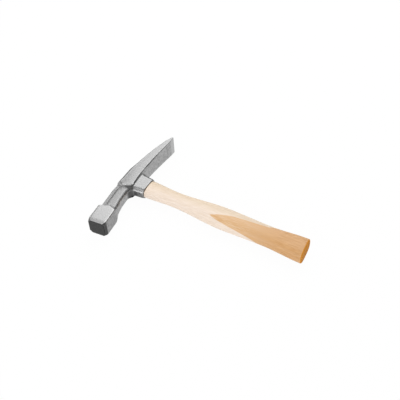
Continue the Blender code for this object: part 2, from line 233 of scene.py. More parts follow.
# Studio: lamps stand round the head, and the camera is at the photograph's angle
LAMP_DISTANCE = 1.5
LAMPS = (
    # name, direction from the eye, width and height in metres, watts
    ("back_softbox", (-0.31, 0.675, 0.67), 1.08, 0.83, 5.4),
    ("top_softbox", (0.15, 0.35, 0.92), 1.1, 1.1, 6.8),
    ("back_card", (-0.26, 0.95, 0.17), 0.9, 0.6, 2.8),
    ("right_card", (0.43, 0.76, 0.49), 0.7, 0.5, 1.4),
    ("left_fill", (-0.36, -0.66, 0.65), 0.9, 0.9, 0.8),
    ("left_strip", (-0.87, 0.49, 0.03), 1.0, 0.3, 3.2),
    ("left_card", (-0.93, 0.02, 0.36), 0.7, 0.6, 1.6),
    ("front_strip", (-0.33, -0.86, 0.36), 0.9, 0.32, 4.6),
    ("front_softbox", (0.35, -0.88, 0.32), 1.4, 1.0, 7.6),
)
FLOOR_HALF = 30.0
PAPER_GLOW = 0.97
CAMERA_PLACE = (0.3270, -0.5496, 0.7261)
CAMERA_TURN = (0.7520, 0.0366, 0.5189)
CAMERA_LENS = 63.0
CAMERA_SENSOR = 36.0


def linear(hex_colour):
    """sRGB hex to a linear colour with alpha."""
    colour = []
    for start in (1, 3, 5):
        value = int(hex_colour[start:start + 2], 16) / 255
        colour.append(value / 12.92 if value <= 0.04045 else ((value + 0.055) / 1.055) ** 2.4)
    return (*colour, 1.0)


def add(tree, kind, values=None, **settings):
    """Adds a node; values are sockets' numbers, or the output sockets to link to them."""
    node = tree.nodes.new(kind)
    for name, setting in settings.items():
        setattr(node, name, setting)
    for socket, value in (values or {}).items():
        target = node.inputs[socket]
        if isinstance(value, bpy.types.NodeSocket):
            tree.links.new(value, target)
        else:
            target.default_value = value
    return node


def new_material(name):
    """A material, its tree and its shader."""
    material = bpy.data.materials.new(name)
    material.use_nodes = True
    tree = material.node_tree
    return material, tree, tree.nodes["Principled BSDF"]


def link(tree, source, shader, socket):
    """Links an output to one of a shader's sockets."""
    tree.links.new(source, shader.inputs[socket])


def forged_shot_blasted_steel():
    """Drop-forged medium carbon steel, blasted with steel shot.

    Shot leaves a satin, finely pitted grey that is blotchy on the sides. Shade and dark reflections are
    painted into the hollows, under the panels, on the collar's walls and along the head's edges, and
    highlights are painted on the collar's corner and the panel's point.
    The poll's face is hardened, and painted dark for the dark reflection it shows, with a painted dark edge
    round it, and the band round it and the cutting bevel are ground bright.
    """
    material, tree, shader = new_material("forged_shot_blasted_steel")
    place = add(tree, "ShaderNodeTexCoord").outputs["Object"]

    # Shot craters are about 0.3 mm wide; they are drawn coarser here, or none would show
    pits = add(tree, "ShaderNodeTexNoise", {
        "Vector": place, "Scale": 1 / (2.2 * MM), "Detail": 3.0, "Roughness": 0.65}).outputs["Fac"]
    speckle = add(tree, "ShaderNodeMapRange", {
        "Value": pits, "From Min": 0.36, "From Max": 0.64}).outputs["Result"]
    cheek = add(tree, "ShaderNodeMix", {
        "Factor": speckle, "A": linear("#909090"), "B": linear("#A2A2A2")},
        data_type="RGBA").outputs["Result"]

    # Blasting leaves soft blotches of about 3.5 mm on the head's rougher sides
    blotches = add(tree, "ShaderNodeTexNoise", {
        "Vector": place, "Scale": 1 / (3.5 * MM), "Detail": 3.0, "Roughness": 0.6}).outputs["Fac"]
    blotch = add(tree, "ShaderNodeMapRange", {
        "Value": blotches, "From Min": 0.36, "From Max": 0.64}).outputs["Result"]
    mottled = add(tree, "ShaderNodeMix", {
        "Factor": blotch, "A": linear("#919191"), "B": linear("#B1B1B1")},
        data_type="RGBA").outputs["Result"]
    side = add(tree, "ShaderNodeAttribute", attribute_name="side").outputs["Fac"]
    blasted = add(tree, "ShaderNodeMix", {
        "Factor": side, "A": cheek, "B": mottled}, data_type="RGBA").outputs["Result"]
    # This attribute holds the ground steel and also the painted highlights on the collar's corner and the
    # panel's point
    ground_and_highlight = add(tree, "ShaderNodeAttribute", attribute_name="ground_and_highlight").outputs["Fac"]
    brightened = add(tree, "ShaderNodeMix", {
        "Factor": ground_and_highlight, "A": blasted, "B": linear("#B8B8B8")}, data_type="RGBA").outputs["Result"]

    # The band, the dark rim and the face follow the depth behind the face's plane
    from_face = add(tree, "ShaderNodeVectorMath", {
        0: place, 1: FACE_MIDDLE}, operation="SUBTRACT").outputs["Vector"]
    depth = add(tree, "ShaderNodeVectorMath", {
        0: from_face, 1: FACE_OUTWARD}, operation="DOT_PRODUCT").outputs["Value"]
    on_band = add(tree, "ShaderNodeMapRange", {
        "Value": depth, "From Min": -BAND_LENGTH - BAND_FADE,
        "From Max": -BAND_LENGTH + BAND_FADE}).outputs["Result"]
    banded = add(tree, "ShaderNodeMix", {
        "Factor": on_band, "A": brightened, "B": linear("#B8B8B8")}, data_type="RGBA").outputs["Result"]
    # Painted shade: dark grey wherever this attribute is set, in the hollows, on the collar's walls and along
    # dark edges
    painted_shade = add(tree, "ShaderNodeAttribute", attribute_name="painted_shade").outputs["Fac"]
    shaded = add(tree, "ShaderNodeMix", {
        "Factor": painted_shade, "A": banded, "B": linear("#464646")}, data_type="RGBA").outputs["Result"]
    # A dark edge round the face, painted in as shade
    on_rim = add(tree, "ShaderNodeMapRange", {
        "Value": depth, "From Min": -0.65 * MM, "From Max": -0.35 * MM}).outputs["Result"]
    rimmed = add(tree, "ShaderNodeMix", {
        "Factor": on_rim, "A": shaded, "B": linear("#2C2C2C")}, data_type="RGBA").outputs["Result"]
    # The poll's face is painted dark, standing in for the dark reflection it shows
    painted_dark_face = add(tree, "ShaderNodeMix", {
        "Factor": speckle, "A": linear("#383838"), "B": linear("#4A4A4A")},
        data_type="RGBA").outputs["Result"]
    on_face = add(tree, "ShaderNodeMapRange", {
        "Value": depth, "From Min": -0.3 * MM, "From Max": -0.1 * MM}).outputs["Result"]
    faced = add(tree, "ShaderNodeMix", {
        "Factor": on_face, "A": rimmed, "B": painted_dark_face}, data_type="RGBA").outputs["Result"]
    link(tree, faced, shader, "Base Color")

    # Clean steel is nearly white where it turns away from the eye; where shade is painted, its reflection
    # there is painted dark too
    turned_away = add(tree, "ShaderNodeMix", {
        "Factor": painted_shade, "A": linear("#F2F2F2"), "B": linear("#404040")}, data_type="RGBA").outputs["Result"]
    link(tree, turned_away, shader, "Specular Tint")
    satin = add(tree, "ShaderNodeMapRange", {
        "Value": pits, "From Min": 0.3, "From Max": 0.7, "To Min": 0.30, "To Max": 0.40}).outputs["Result"]
    link(tree, satin, shader, "Roughness")
    bump = add(tree, "ShaderNodeBump", {"Height": pits, "Strength": 0.35, "Distance": 0.12 * MM})
    link(tree, bump.outputs["Normal"], shader, "Normal")
    shader.inputs["Metallic"].default_value = 1.0
    return material


def heartwood_growth(tree, place):
    """How far each place lies past the edge of the heartwood's tongue, towards the butt."""
    maths = "ShaderNodeMath"
    along = add(tree, "ShaderNodeSeparateXYZ", {"Vector": place}).outputs
    height = add(tree, maths, {
        0: along["Z"], 1: GRAIN_TILT, 2: along["Y"]}, operation="MULTIPLY_ADD").outputs[0]
    tip = HEART_TIP_Y + GRAIN_TILT * HEART_TIP_Z
    from_tip = add(tree, maths, {0: height, 1: tip}, operation="SUBTRACT").outputs[0]

    upper = add(tree, maths, {0: from_tip, 1: 0.0}, operation="MAXIMUM").outputs[0]
    bend = add(tree, maths, {0: upper, 1: HEART_UPPER_BEND}, operation="DIVIDE").outputs[0]
    bend = add(tree, maths, {0: bend, 1: HEART_UPPER_POWER}, operation="POWER").outputs[0]
    bend = add(tree, maths, {0: bend, 1: MM}, operation="MULTIPLY").outputs[0]
    upper_edge = add(tree, maths, {
        0: upper, 1: HEART_UPPER_SLOPE, 2: bend}, operation="MULTIPLY_ADD").outputs[0]

    lower = add(tree, maths, {0: from_tip, 1: 0.0}, operation="MINIMUM").outputs[0]
    lower_edge = add(tree, maths, {0: lower, 1: HEART_LOWER_CURVE}, operation="MULTIPLY").outputs[0]
    lower_edge = add(tree, maths, {0: lower_edge, 1: lower}, operation="MULTIPLY").outputs[0]

    edge = add(tree, maths, {0: upper_edge, 1: lower_edge}, operation="ADD").outputs[0]
    under_edge = add(tree, maths, {
        0: along["Z"], 1: HEART_UNDER_SLOPE, 2: HEART_UNDER_REACH}, operation="MULTIPLY_ADD").outputs[0]
    edge = add(tree, maths, {0: edge, 1: under_edge}, operation="MINIMUM").outputs[0]
    past_edge = add(tree, maths, {0: along["X"], 1: edge}, operation="SUBTRACT").outputs[0]

    # The edge wavers over about 45 mm of the handle's length and 12 mm of its breadth
    drift = add(tree, "ShaderNodeMapping", {
        "Vector": place, "Scale": (1 / (45 * MM), 1 / (12 * MM), 1 / (12 * MM))}).outputs["Vector"]
    wander = add(tree, "ShaderNodeTexNoise", {"Vector": drift, "Scale": 1.0, "Detail": 3.0}).outputs["Fac"]
    waver = add(tree, "ShaderNodeMapRange", {
        "Value": wander, "From Min": 0.3, "From Max": 0.7, "To Min": -HEART_WAVER, "To Max": HEART_WAVER})
    return add(tree, maths, {0: past_edge, 1: waver.outputs["Result"]}, operation="ADD").outputs[0]


def lacquered_hickory():
    """Hickory, sanded along the grain under a clear lacquer.

    Pale sapwood with painted shade, darker on the blade's side and lighter on the poll's side, and a brown
    tongue of heartwood cut by the handle's curve, straight grain with long open pores, a soft gloss, and
    dull, darker end grain at the butt.
    """
    material, tree, shader = new_material("lacquered_hickory")
    maths = "ShaderNodeMath"
    place = add(tree, "ShaderNodeTexCoord").outputs["Object"]
    along = add(tree, "ShaderNodeSeparateXYZ", {"Vector": place}).outputs

    # Pores are about 0.2 mm wide and 5 mm long; they are drawn coarser here, or none would show
    pores_place = add(tree, "ShaderNodeMapping", {
        "Vector": place, "Scale": (1 / (16 * MM), 1 / (1.1 * MM), 1 / (1.1 * MM))}).outputs["Vector"]
    pores = add(tree, "ShaderNodeTexNoise", {
        "Vector": pores_place, "Scale": 1.0, "Detail": 2.0}).outputs["Fac"]
    streak = add(tree, "ShaderNodeMapRange", {
        "Value": pores, "From Min": 0.35, "From Max": 0.65}).outputs["Result"]

    # Painted shade: the sapwood is darker towards the blade's side and lighter towards the poll's side, as
    # the light falls
    sapwood_lit_side = add(tree, "ShaderNodeMix", {
        "Factor": streak, "A": linear("#E4D1BE"), "B": linear("#ECDCCE")}, data_type="RGBA").outputs["Result"]
    sapwood_shaded_side = add(tree, "ShaderNodeMix", {
        "Factor": streak, "A": linear("#D8C2A6"), "B": linear("#E0CDB6")}, data_type="RGBA").outputs["Result"]
    to_blade = add(tree, "ShaderNodeMapRange", {
        "Value": along["Y"], "From Min": -6 * MM, "From Max": 5 * MM}).outputs["Result"]
    sapwood = add(tree, "ShaderNodeMix", {
        "Factor": to_blade, "A": sapwood_lit_side, "B": sapwood_shaded_side}, data_type="RGBA").outputs["Result"]

    # The handle's curve cuts the rings at a slant, so they show wider apart than they grow
    growth = heartwood_growth(tree, place)
    rings = add(tree, maths, {0: growth, 1: 2 * math.pi / RING_SPACING}, operation="MULTIPLY").outputs[0]
    rings = add(tree, maths, {0: rings}, operation="SINE").outputs[0]
    dark_ring = add(tree, "ShaderNodeMapRange", {"Value": rings, "To Max": 0.35}).outputs["Result"]
    to_butt = add(tree, "ShaderNodeMapRange", {
        "Value": along["X"], "From Min": 40 * MM, "From Max": 110 * MM}).outputs["Result"]
    browning = add(tree, "ShaderNodeMix", {
        "Factor": to_butt, "A": linear("#E0BF99"), "B": linear("#C28F57")},
        data_type="RGBA").outputs["Result"]
    ringed = add(tree, "ShaderNodeMix", {
        "Factor": dark_ring, "A": browning, "B": linear("#CB9C68")}, data_type="RGBA").outputs["Result"]
    heartwood = add(tree, "ShaderNodeMix", {
        "Factor": streak, "A": linear("#D2A470"), "B": ringed}, data_type="RGBA").outputs["Result"]
    heart = add(tree, "ShaderNodeMapRange", {
        "Value": growth, "From Min": 1.5 * MM, "From Max": 4.5 * MM},
        interpolation_type="SMOOTHSTEP").outputs["Result"]
    wood = add(tree, "ShaderNodeMix", {
        "Factor": heart, "A": sapwood, "B": heartwood}, data_type="RGBA").outputs["Result"]

    squared = add(tree, maths, {
        0: along["Y"], 1: BUTT_SKEW, 2: along["X"]}, operation="MULTIPLY_ADD").outputs[0]
    end = add(tree, "ShaderNodeMapRange", {
        "Value": squared, "From Min": BUTT_X - 2.3 * MM, "From Max": BUTT_X - 1.5 * MM}).outputs["Result"]
    ended = add(tree, "ShaderNodeMix", {
        "Factor": end, "A": wood, "B": linear("#CE882C")}, data_type="RGBA").outputs["Result"]
    joint = add(tree, "ShaderNodeMapRange", {
        "Value": along["X"], "From Min": SHOULDER_X + 0.2 * MM, "From Max": SHOULDER_X + 0.6 * MM,
        "To Min": 1.0, "To Max": 0.0}).outputs["Result"]
    jointed = add(tree, "ShaderNodeMix", {
        "Factor": joint, "A": ended, "B": linear("#BFA27E")}, data_type="RGBA").outputs["Result"]
    link(tree, jointed, shader, "Base Color")

    lacquer = add(tree, "ShaderNodeMapRange", {
        "Value": end, "To Min": 0.1, "To Max": 0.0}).outputs["Result"]
    link(tree, lacquer, shader, "Coat Weight")
    dullness = add(tree, "ShaderNodeMapRange", {
        "Value": end, "To Min": 0.45, "To Max": 1.0}).outputs["Result"]
    link(tree, dullness, shader, "Roughness")
    bump = add(tree, "ShaderNodeBump", {"Height": streak, "Strength": 0.15, "Distance": 0.05 * MM})
    link(tree, bump.outputs["Normal"], shader, "Normal")
    shader.inputs["Coat Roughness"].default_value = 0.3
    return material


def sawn_wedge_hardwood():
    """Dark hardwood wedge, sawn off flush: end grain with open pores, dull and dry."""
    material, tree, shader = new_material("sawn_wedge_hardwood")
    place = add(tree, "ShaderNodeTexCoord").outputs["Object"]
    # End-grain pores are about 0.2 mm wide; they are drawn coarser here, or none would show
    pores = add(tree, "ShaderNodeTexVoronoi", {"Vector": place, "Scale": 1 / (0.9 * MM)}).outputs["Distance"]
    open_pore = add(tree, "ShaderNodeMapRange", {
        "Value": pores, "From Min": 0.1, "From Max": 0.45}).outputs["Result"]
    colour = add(tree, "ShaderNodeMix", {
        "Factor": open_pore, "A": linear("#5A3C22"), "B": linear("#95683E")}, data_type="RGBA")
    link(tree, colour.outputs["Result"], shader, "Base Color")
    bump = add(tree, "ShaderNodeBump", {"Height": open_pore, "Strength": 0.3, "Distance": 0.1 * MM})
    link(tree, bump.outputs["Normal"], shader, "Normal")
    shader.inputs["Roughness"].default_value = 0.7
    return material


def rolled_wedge_steel():
    """Mild steel strip, hot rolled and hammered in: dark mill scale with bright hammer scuffs."""
    material, tree, shader = new_material("rolled_wedge_steel")
    place = add(tree, "ShaderNodeTexCoord").outputs["Object"]
    # Scuffs are about 1.6 mm across
    scuffs = add(tree, "ShaderNodeTexNoise", {
        "Vector": place, "Scale": 1 / (1.6 * MM), "Detail": 4.0}).outputs["Fac"]
    worn = add(tree, "ShaderNodeMapRange", {
        "Value": scuffs, "From Min": 0.45, "From Max": 0.62}).outputs["Result"]
    colour = add(tree, "ShaderNodeMix", {
        "Factor": worn, "A": linear("#5B5B5E"), "B": linear("#9A9A9C")}, data_type="RGBA")
    link(tree, colour.outputs["Result"], shader, "Base Color")
    bump = add(tree, "ShaderNodeBump", {"Height": scuffs, "Strength": 0.4, "Distance": 0.1 * MM})
    link(tree, bump.outputs["Normal"], shader, "Normal")
    shader.inputs["Roughness"].default_value = 0.45
    shader.inputs["Metallic"].default_value = 1.0
    return material


def evaluated_copy(piece):
    """The piece's mesh with its modifiers applied."""
    bpy.context.view_layer.update()
    return bpy.data.meshes.new_from_object(piece.evaluated_get(bpy.context.evaluated_depsgraph_get()))


def add_piece(name, mesh):
    """An object at the origin for a mesh."""
    piece = bpy.data.objects.new(name, mesh)
    bpy.context.scene.collection.objects.link(piece)
    return piece


def merged_copy(node):
    """A CAD node's mesh with its loose triangles joined."""
    shape = bmesh.new()
    shape.from_mesh(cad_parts[node].data)
    bmesh.ops.remove_doubles(shape, verts=shape.verts, dist=SAME_PLACE)
    return shape


def close_skin(mesh):
    """Joins points that coincide, drops slivers and turns the faces outwards."""
    skin = bmesh.new()
    skin.from_mesh(mesh)
    bmesh.ops.remove_doubles(skin, verts=skin.verts, dist=SAME_PLACE)
    bmesh.ops.dissolve_degenerate(skin, edges=skin.edges, dist=SAME_PLACE)
    bmesh.ops.recalc_face_normals(skin, faces=skin.faces)
    skin.to_mesh(mesh)
    skin.free()


def ramp(values, start, end):
    """0 at start, 1 at end and even in between."""
    return np.clip((values - start) / (end - start), 0.0, 1.0)


def fade(measures, fades):
    """The product of several ramps, each given as a measure's name, a start and an end."""
    share = 1.0
    for name, start, end in fades:
        share = share * ramp(measures[name], start, end)
    return share


def strongest(measures, zones):
    """At each point, the strongest of several zones, each given as a strength and its fades."""
    return np.maximum.reduce([strength * fade(measures, fades) for strength, fades in zones.values()])


def half_cheek(y):
    """Half the width over the cheeks, which grows towards the blade's edge."""
    return CHEEK_HALF + (EDGE_HALF - CHEEK_HALF) * y / BLADE_REACH


def panel_lower_edge(y):
    """Where the panel ends below, straight over the eye and drooping along the blade."""
    to_tip = np.clip((y - COLLAR_WALL) / (LOWER_HEEL - COLLAR_WALL), 0.0, PANEL_DROOP_END)
    to_heel = ramp(y, COLLAR_WALL, -PANEL_HEEL_Y)
    return PANEL_LOW + PANEL_DROOP * to_tip ** 2 + PANEL_HEEL_DROP * to_heel


def measure_head(points, normals):
    """What tells places on the head apart: how far they lie from the eye and from edges, and how they face.

    x runs along the handle and y along the head; out is the distance from the hammer's middle plane.
    """
    x, y, z = (points - np.array(EYE_MIDDLE)).T
    out = np.abs(z)
    away = np.abs(y)
    leaned_x = x * math.cos(POLL_LEAN) + y * math.sin(POLL_LEAN)
    neck_edges = [np.hypot(leaned_x - edge_x, out - edge_out) for edge_x, edge_out in NECK_EDGES]
    measures = {
        "x": x,
        "y": y,
        "z": z,
        "out": out,
        "away": away,
        "past_poll": points[:, 1] - POLL_END_Y,
        "past_heel": points[:, 1] - BEVEL_HEEL_Y,
        "depth": (points - np.array(FACE_MIDDLE)) @ np.array(FACE_OUTWARD),
        "below_cheek": half_cheek(y) - out,
        "from_panel_edge": np.abs(x - panel_lower_edge(y)),
        "from_neck_edge": np.minimum.reduce(neck_edges),
        "from_collar_edge": np.hypot(away - COLLAR_WALL, out - COLLAR_FLAT_HALF),
        "from_collar_highlight": np.hypot(y - COLLAR_HIGHLIGHT_Y, out - COLLAR_HIGHLIGHT_OUT),
        "from_crotch": np.hypot(x - CROTCH_X, away - CROTCH_Y),
        "faces_x": normals[:, 0],
        "faces_y": normals[:, 1],
        "faces_end": np.sign(y) * normals[:, 1],
        "faces_along": np.abs(normals[:, 1]),
        "faces_edge": np.abs(normals[:, 0]),
        "faces_cheek": np.abs(normals[:, 2]),
    }
    measures["off_upper_cheek"] = 1 - fade(measures, UPPER_CHEEK_SIDE)
    return measures


def shape_panels(points, measures):
    """Crowns the cheek panels, rolls them off towards their lower edge and breaks that edge."""
    y = measures["y"]
    out = measures["out"]
    half = half_cheek(y)
    inside = panel_lower_edge(y) - measures["x"]
    fade_start, fade_end = PANEL_OUT_SHARES
    on_panel = ramp(out, fade_start * half, fade_end * half) * ramp(y, *PANEL_POINT_Y)
    worn_edge = ramp(y, *WORN_EDGE_Y) * (1 - WORN_EDGE_LOSS * ramp(y, *WORN_EDGE_LOSS_Y))
    above_edge = ramp(-inside, *PANEL_PAST_EDGE)
    crown = np.clip(inside, 0.0, PANEL_CROWN_WIDTH) ** 2 / (2 * PANEL_CROWN_RADIUS)
    in_roll = np.clip(PANEL_ROLL_WIDTH - inside, 0.0, PANEL_ROLL_WIDTH)
    roll = in_roll ** 2 / (2 * PANEL_ROLL_RADIUS) * worn_edge
    fall = on_panel * (crown + roll * above_edge)
    short_of = PANEL_EDGE_CUT - inside - (half - roll - out)
    cut = np.clip(short_of, 0.0, PANEL_EDGE_CUT) / 2 * worn_edge * above_edge
    points[:, 0] -= cut
    points[:, 2] -= np.sign(measures["z"]) * (fall + cut)


def rounding_stock(measures):
    """Stock for what the rounding takes off the back, the underside, the collar's end walls and the poll."""
    poll = POLL_STOCK * fade(measures, POLL_STOCK_FADES)
    at_face = POLL_BACK_EXTRA + POLL_BACK_EXTRA_AT_FACE * fade(measures, POLL_FACE_FADES)
    poll *= 1 + fade(measures, POLL_BACK_FADES) * at_face
    return np.maximum(poll, strongest(measures, STOCK_ZONES))


def forge(mesh):
    """Rounds the edges and fills the inner corners, as a forging die does.

    The collar's end is drawn in a little first; what comes back is the points and their normals.
    """
    count = len(mesh.vertices)
    points = np.empty(count * 3)
    mesh.vertices.foreach_get("co", points)
    points = points.reshape(-1, 3)
    edges = np.empty(len(mesh.edges) * 2, int)
    mesh.edges.foreach_get("vertices", edges)
    first, second = edges.reshape(-1, 2).T
    neighbours = np.bincount(first, minlength=count) + np.bincount(second, minlength=count)

    def to_neighbours():
        total = np.empty_like(points)
        for axis in range(3):
            total[:, axis] = np.bincount(first, points[second, axis], count)
            total[:, axis] += np.bincount(second, points[first, axis], count)
        return total / neighbours[:, None] - points

    def write():
        mesh.vertices.foreach_set("co", points.ravel())
        mesh.update()
        normals = np.empty(count * 3)
        mesh.vertex_normals.foreach_get("vector", normals)
        return normals.reshape(-1, 3)

    def smooth(rounds, shares):
        for _ in range(rounds):
            points[:] += ROUND_STEP * shares[:, None] * to_neighbours()

    normals = write()
    points[:, 0] -= COLLAR_TRIM * fade(measure_head(points, normals), TRIMMED_COLLAR)
    past_poll = ramp(points[:, 1], POLL_END_Y, POLL_END_Y + POLL_SOFT_LENGTH)
    softness = POLL_SOFTNESS + (1 - POLL_SOFTNESS) * past_poll
    smooth(EDGE_ROUNDING_ROUNDS, softness)
    shape_panels(points, measure_head(points, normals))
    normals = write()
    points += rounding_stock(measure_head(points, normals))[:, None] * normals
    measures = measure_head(points, normals)
    smooth(DIE_EDGE_ROUNDS, strongest(measures, DIE_EDGE_ZONES))
    smooth(CROTCH_ROUNDS, strongest(measures, CROTCH_ZONES))
    for index in range(HOLLOW_FILLING_ROUNDS):
        if index % ROUNDS_PER_NORMAL == 0:
            normals = write()
        rise = np.einsum("ij,ij->i", to_neighbours(), normals)
        points += ROUND_STEP * np.maximum(rise, 0.0)[:, None] * normals
    smooth(LAST_ROUNDS, softness)
    return points, write()


def forged_head(steel):
    """The head: the CAD head on a fine grid, forged round, with its finishes, painted shade and painted
    highlights kept at each point.
    """
    shape = merged_copy("hammer_head")
    mesh = bpy.data.meshes.new("forging_blank")
    shape.to_mesh(mesh)
    shape.free()
    blank = add_piece("forging_blank", mesh)
    remesh = blank.modifiers.new("fine_grid", "REMESH")
    remesh.mode = "VOXEL"
    remesh.voxel_size = FORGING_GRID
    fine = evaluated_copy(blank)
    bpy.data.objects.remove(blank)
    fine.name = "forged_head"

    measures = measure_head(*forge(fine))
    for name, zones in (("painted_shade", PAINTED_SHADE_ZONES), ("ground_and_highlight", GROUND_AND_HIGHLIGHT_ZONES), ("side", SIDE_ZONES)):
        attribute = fine.attributes.new(name, "FLOAT", "POINT")
        attribute.data.foreach_set("value", strongest(measures, zones).astype(np.float32))
    fine.shade_smooth()
    fine.materials.clear()
    fine.materials.append(steel)
    head = add_piece("forged_head", fine)
    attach(head, "root")
    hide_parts("hammer_head")


def handle_turning(hickory):
    """Geometry nodes for the handle: rounded sections that ease from one stop to the next."""
    tree = bpy.data.node_groups.new("handle_turning", "GeometryNodeTree")
    tree.interface.new_socket("Geometry", in_out="OUTPUT", socket_type="NodeSocketGeometry")
    wanted = []
    for stop, (stop_x, section) in HANDLE_STOPS.items():
        wanted.append((stop + " Place", "NodeSocketFloat", stop_x))
        wanted.append((stop + " Section", "NodeSocketVector", section))
    wanted.append(("Shoulder Round", "NodeSocketFloat", SHOULDER_ROUND))
    wanted.append(("Butt Round", "NodeSocketFloat", BUTT_ROUND))
    wanted.append(("Butt Skew", "NodeSocketFloat", BUTT_SKEW))
    wanted.append(("Wood", "NodeSocketMaterial", hickory))
    settings = {}
    for name, kind, value in wanted:
        socket = tree.interface.new_socket(name, in_out="INPUT", socket_type=kind)
        settings[socket.identifier] = value
    given = add(tree, "NodeGroupInput").outputs
    maths = "ShaderNodeMath"
    map_range = "ShaderNodeMapRange"

    grid = add(tree, "GeometryNodeMeshGrid", {
        "Size X": 1.0, "Size Y": 1.0, "Vertices X": HANDLE_RINGS, "Vertices Y": HANDLE_POINTS + 1})
    place = add(tree, "ShaderNodeSeparateXYZ", {"Vector": add(tree, "GeometryNodeInputPosition").outputs[0]})
    share = add(tree, maths, {0: place.outputs["X"], 1: 0.5}, operation="ADD").outputs[0]
    around = add(tree, maths, {0: place.outputs["Y"], 1: 2 * math.pi}, operation="MULTIPLY").outputs[0]

    # Place along the handle, with a quarter turn over each rounded end
    start_turn = add(tree, map_range, {
        "Value": share, "From Min": SHOULDER_CAP_END, "From Max": SHOULDER_ROUND_END,
        "To Min": math.pi / 2, "To Max": 0.0}).outputs["Result"]
    end_turn = add(tree, map_range, {
        "Value": share, "From Min": BUTT_ROUND_START, "From Max": BUTT_CAP_START,
        "To Min": 0.0, "To Max": math.pi / 2}).outputs["Result"]
    straight_start = add(tree, maths, {
        0: given["Shoulder Place"], 1: given["Shoulder Round"]}, operation="ADD").outputs[0]
    straight_end = add(tree, maths, {
        0: given["Butt Place"], 1: given["Butt Round"]}, operation="SUBTRACT").outputs[0]
    straight = add(tree, map_range, {
        "Value": share, "From Min": SHOULDER_ROUND_END, "From Max": BUTT_ROUND_START,
        "To Min": straight_start, "To Max": straight_end}).outputs["Result"]
    back = add(tree, maths, {0: start_turn}, operation="SINE").outputs[0]
    back = add(tree, maths, {0: back, 1: given["Shoulder Round"]}, operation="MULTIPLY").outputs[0]
    out = add(tree, maths, {0: end_turn}, operation="SINE").outputs[0]
    out = add(tree, maths, {0: out, 1: given["Butt Round"], 2: straight}, operation="MULTIPLY_ADD").outputs[0]
    x = add(tree, maths, {0: out, 1: back}, operation="SUBTRACT").outputs[0]

    # Section: breadth, thickness and squareness eased between the stops
    section = given["Shoulder Section"]
    stops = list(HANDLE_STOPS)
    for before, after in zip(stops, stops[1:]):
        change = add(tree, "ShaderNodeVectorMath", {
            0: given[after + " Section"], 1: given[before + " Section"]}, operation="SUBTRACT").outputs[0]
        last = straight_end if after == "Butt" else given[after + " Place"]
        eased = add(tree, map_range, {
            "Vector": x, "From Min": given[before + " Place"], "From Max": last,
            "To Min": (0.0, 0.0, 0.0), "To Max": change},
            data_type="FLOAT_VECTOR", interpolation_type="SMOOTHSTEP").outputs["Vector"]
        section = add(tree, "ShaderNodeVectorMath", {0: section, 1: eased}, operation="ADD").outputs[0]
    size = add(tree, "ShaderNodeSeparateXYZ", {"Vector": section}).outputs
    exponent = add(tree, maths, {0: 2.0, 1: size["Z"]}, operation="DIVIDE").outputs[0]

    # Drawing in: fully over the caps, and by a quarter round over the rounded ends
    closing = add(tree, map_range, {
        "Value": share, "From Min": BUTT_CAP_START, "From Max": 1.0,
        "To Min": 1.0, "To Max": 0.0}).outputs["Result"]
    opening = add(tree, map_range, {
        "Value": share, "From Min": 0.0, "From Max": SHOULDER_CAP_END}).outputs["Result"]
    cap = add(tree, maths, {0: closing, 1: opening}, operation="MULTIPLY").outputs[0]
    insets = []
    for turn, rounding in ((start_turn, "Shoulder Round"), (end_turn, "Butt Round")):
        cosine = add(tree, maths, {0: turn}, operation="COSINE").outputs[0]
        drawn = add(tree, maths, {0: 1.0, 1: cosine}, operation="SUBTRACT").outputs[0]
        insets.append(add(tree, maths, {0: drawn, 1: given[rounding]}, operation="MULTIPLY").outputs[0])
    inset = add(tree, maths, {0: insets[0], 1: insets[1]}, operation="ADD").outputs[0]

    sides = []
    for wave, axis, middle in (("COSINE", "X", EYE_MIDDLE.y), ("SINE", "Y", EYE_MIDDLE.z)):
        swing = add(tree, maths, {0: around}, operation=wave).outputs[0]
        sign = add(tree, maths, {0: swing}, operation="SIGN").outputs[0]
        bulge = add(tree, maths, {0: swing}, operation="ABSOLUTE").outputs[0]
        bulge = add(tree, maths, {0: bulge, 1: exponent}, operation="POWER").outputs[0]
        bulge = add(tree, maths, {0: bulge, 1: sign}, operation="MULTIPLY").outputs[0]
        half = add(tree, maths, {0: size[axis], 1: 0.5}, operation="MULTIPLY").outputs[0]
        half = add(tree, maths, {0: half, 1: inset}, operation="SUBTRACT").outputs[0]
        half = add(tree, maths, {0: half, 1: cap}, operation="MULTIPLY").outputs[0]
        sides.append(add(tree, maths, {0: half, 1: bulge, 2: middle}, operation="MULTIPLY_ADD").outputs[0])

    # The skew grows from the grip to the butt
    skew = add(tree, map_range, {
        "Value": x, "From Min": given["Grip Place"], "From Max": straight_end,
        "To Min": 0.0, "To Max": given["Butt Skew"]}, interpolation_type="SMOOTHSTEP").outputs["Result"]
    shift = add(tree, maths, {0: sides[0], 1: skew}, operation="MULTIPLY").outputs[0]
    x = add(tree, maths, {0: x, 1: shift}, operation="SUBTRACT").outputs[0]

    point = add(tree, "ShaderNodeCombineXYZ", {"X": x, "Y": sides[0], "Z": sides[1]})
    turned = add(tree, "GeometryNodeSetPosition", {
        "Geometry": grid.outputs["Mesh"], "Position": point.outputs[0]})
    closed = add(tree, "GeometryNodeMergeByDistance", {
        "Geometry": turned.outputs[0], "Distance": 2 * SAME_PLACE})
    smooth = add(tree, "GeometryNodeSetShadeSmooth", {"Geometry": closed.outputs[0]})
    real = add(tree, "GeometryNodeRealizeInstances", {"Geometry": smooth.outputs[0]})
    dressed = add(tree, "GeometryNodeSetMaterial", {"Geometry": real.outputs[0], "Material": given["Wood"]})
    add(tree, "NodeGroupOutput", {"Geometry": dressed.outputs[0]})
    return tree, settings


